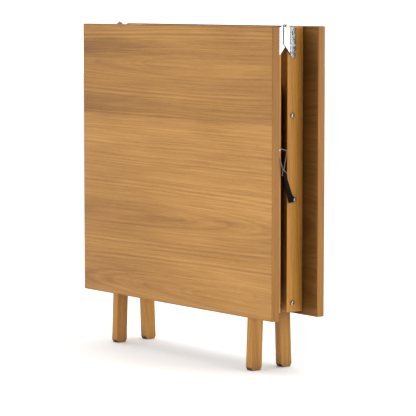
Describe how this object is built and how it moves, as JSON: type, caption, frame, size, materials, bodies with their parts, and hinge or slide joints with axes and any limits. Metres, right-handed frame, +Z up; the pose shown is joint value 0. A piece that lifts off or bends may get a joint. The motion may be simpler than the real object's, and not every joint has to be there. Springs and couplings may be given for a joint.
{
  "type": "folding table",
  "caption": "Folding dining table, shut: flat leaves hinged at the top edge over folded leg frames, standing on its own feet; it opens level with braced legs.",
  "frame": {"origin": "on the floor, in the middle of the folded table", "axes": "+Z up, X along the hinge line, -Y out of the front leaf's table-top face"},
  "size_m": [0.9, 0.184, 0.9591],
  "materials": {
    "oak_veneer_board": "oak veneer, grain across the leaf, satin lacquer",
    "oak_battens": "solid oak, satin lacquer",
    "oak_legs": "solid oak, rounded edges, satin lacquer",
    "zinc_steel": "pressed steel, bright zinc plate",
    "nickel_fasteners": "nickel-plated steel",
    "nylon": "moulded nylon",
    "black_strap": "black rubber strap"
  },
  "bodies": {
    "front_leg_frame": {"front_upper_stretcher": "oak_legs", "front_lower_stretcher": "oak_legs", "front_right_leg": "oak_legs", "front_right_catch_plate": "zinc_steel", "front_right_stretcher_screw": "zinc_steel", "front_left_leg": "oak_legs", "front_left_catch_plate": "zinc_steel", "front_left_stretcher_screw": "zinc_steel"},
    "front_leaf": {"front_board": "oak_veneer_board", "front_right_batten": "oak_battens", "front_right_leg_bolt": "nickel_fasteners", "front_right_leg_spacer": "zinc_steel", "front_right_brace_bolt": "nickel_fasteners", "front_right_brace_washer": "nylon", "front_right_hinge_plate": "zinc_steel", "front_right_hinge_screw_1": "nickel_fasteners", "front_right_hinge_screw_2": "nickel_fasteners", "front_left_batten": "oak_battens", "front_left_leg_bolt": "nickel_fasteners", "front_left_leg_spacer": "zinc_steel", "front_left_brace_bolt": "nickel_fasteners", "front_left_brace_washer": "nylon", "front_left_hinge_plate": "zinc_steel", "front_left_hinge_screw_1": "nickel_fasteners", "front_left_hinge_screw_2": "nickel_fasteners", "right_hinge_rivet": "nickel_fasteners", "left_hinge_rivet": "nickel_fasteners", "closure_peg": "nickel_fasteners"},
    "rear_leaf": {"rear_board": "oak_veneer_board", "rear_right_batten": "oak_battens", "rear_right_leg_bolt": "nickel_fasteners", "rear_right_leg_spacer": "zinc_steel", "rear_right_brace_bolt": "nickel_fasteners", "rear_right_brace_washer": "nylon", "rear_right_hinge_plate": "zinc_steel", "rear_right_hinge_screw_1": "nickel_fasteners", "rear_right_hinge_screw_2": "nickel_fasteners", "rear_left_batten": "oak_battens", "rear_left_leg_bolt": "nickel_fasteners", "rear_left_leg_spacer": "zinc_steel", "rear_left_brace_bolt": "nickel_fasteners", "rear_left_brace_washer": "nylon", "rear_left_hinge_plate": "zinc_steel", "rear_left_hinge_screw_1": "nickel_fasteners", "rear_left_hinge_screw_2": "nickel_fasteners", "closure_strap": "black_strap", "closure_strap_screw": "nickel_fasteners"},
    "rear_leg_frame": {"rear_upper_stretcher": "oak_legs", "rear_lower_stretcher": "oak_legs", "rear_right_leg": "oak_legs", "rear_right_catch_plate": "zinc_steel", "rear_right_stretcher_screw": "zinc_steel", "rear_left_leg": "oak_legs", "rear_left_catch_plate": "zinc_steel", "rear_left_stretcher_screw": "zinc_steel"},
    "front_right_brace_arm": {"front_right_brace": "oak_battens"},
    "front_left_brace_arm": {"front_left_brace": "oak_battens"},
    "rear_right_brace_arm": {"rear_right_brace": "oak_battens"},
    "rear_left_brace_arm": {"rear_left_brace": "oak_battens"},
    "bail": {"closure_bail": "nickel_fasteners"}
  },
  "joints": [
    {"name": "leaf_fold", "type": "hinge", "parent": "front_leg_frame", "child": "front_leaf", "pos_m": [0, -0.028, 0.707], "axis": [-1, 0, 0], "range_deg": [0, 90]},
    {"name": "centre_hinge", "type": "hinge", "parent": "front_leaf", "child": "rear_leaf", "pos_m": [0, 0, 0.9526], "axis": [1, 0, 0], "range_deg": [0, 180]},
    {"name": "rear_leg_fold", "type": "hinge", "parent": "rear_leaf", "child": "rear_leg_frame", "pos_m": [0, 0.028, 0.707], "axis": [-1, 0, 0], "range_deg": [0, 90]},
    {"name": "front_right_brace_swing", "type": "hinge", "parent": "front_leaf", "child": "front_right_brace_arm", "pos_m": [0.3505, -0.03, 0.188], "axis": [-1, 0, 0], "range_deg": [0, 22.14]},
    {"name": "front_left_brace_swing", "type": "hinge", "parent": "front_leaf", "child": "front_left_brace_arm", "pos_m": [-0.3505, -0.03, 0.188], "axis": [-1, 0, 0], "range_deg": [0, 22.14]},
    {"name": "rear_right_brace_swing", "type": "hinge", "parent": "rear_leaf", "child": "rear_right_brace_arm", "pos_m": [0.3505, 0.03, 0.188], "axis": [1, 0, 0], "range_deg": [0, 22.14]},
    {"name": "rear_left_brace_swing", "type": "hinge", "parent": "rear_leaf", "child": "rear_left_brace_arm", "pos_m": [-0.3505, 0.03, 0.188], "axis": [1, 0, 0], "range_deg": [0, 22.14]},
    {"name": "bail_flip", "type": "hinge", "parent": "rear_leaf", "child": "bail", "pos_m": [0.3912, -0.0025, 0.5465], "axis": [0, 0.95, 0.3122], "range_deg": [0, 100]}
  ],
  "couplings": [
    {"joint": "centre_hinge", "follows": "leaf_fold", "ratio": 2},
    {"joint": "rear_leg_fold", "follows": "leaf_fold", "ratio": 1},
    {"joint": "front_right_brace_swing", "follows": "leaf_fold", "ratio": 0.24591},
    {"joint": "front_left_brace_swing", "follows": "leaf_fold", "ratio": 0.24591},
    {"joint": "rear_right_brace_swing", "follows": "leaf_fold", "ratio": 0.24591},
    {"joint": "rear_left_brace_swing", "follows": "leaf_fold", "ratio": 0.24591},
    {"joint": "bail_flip", "follows": "leaf_fold", "ratio": 1.1111}
  ]
}
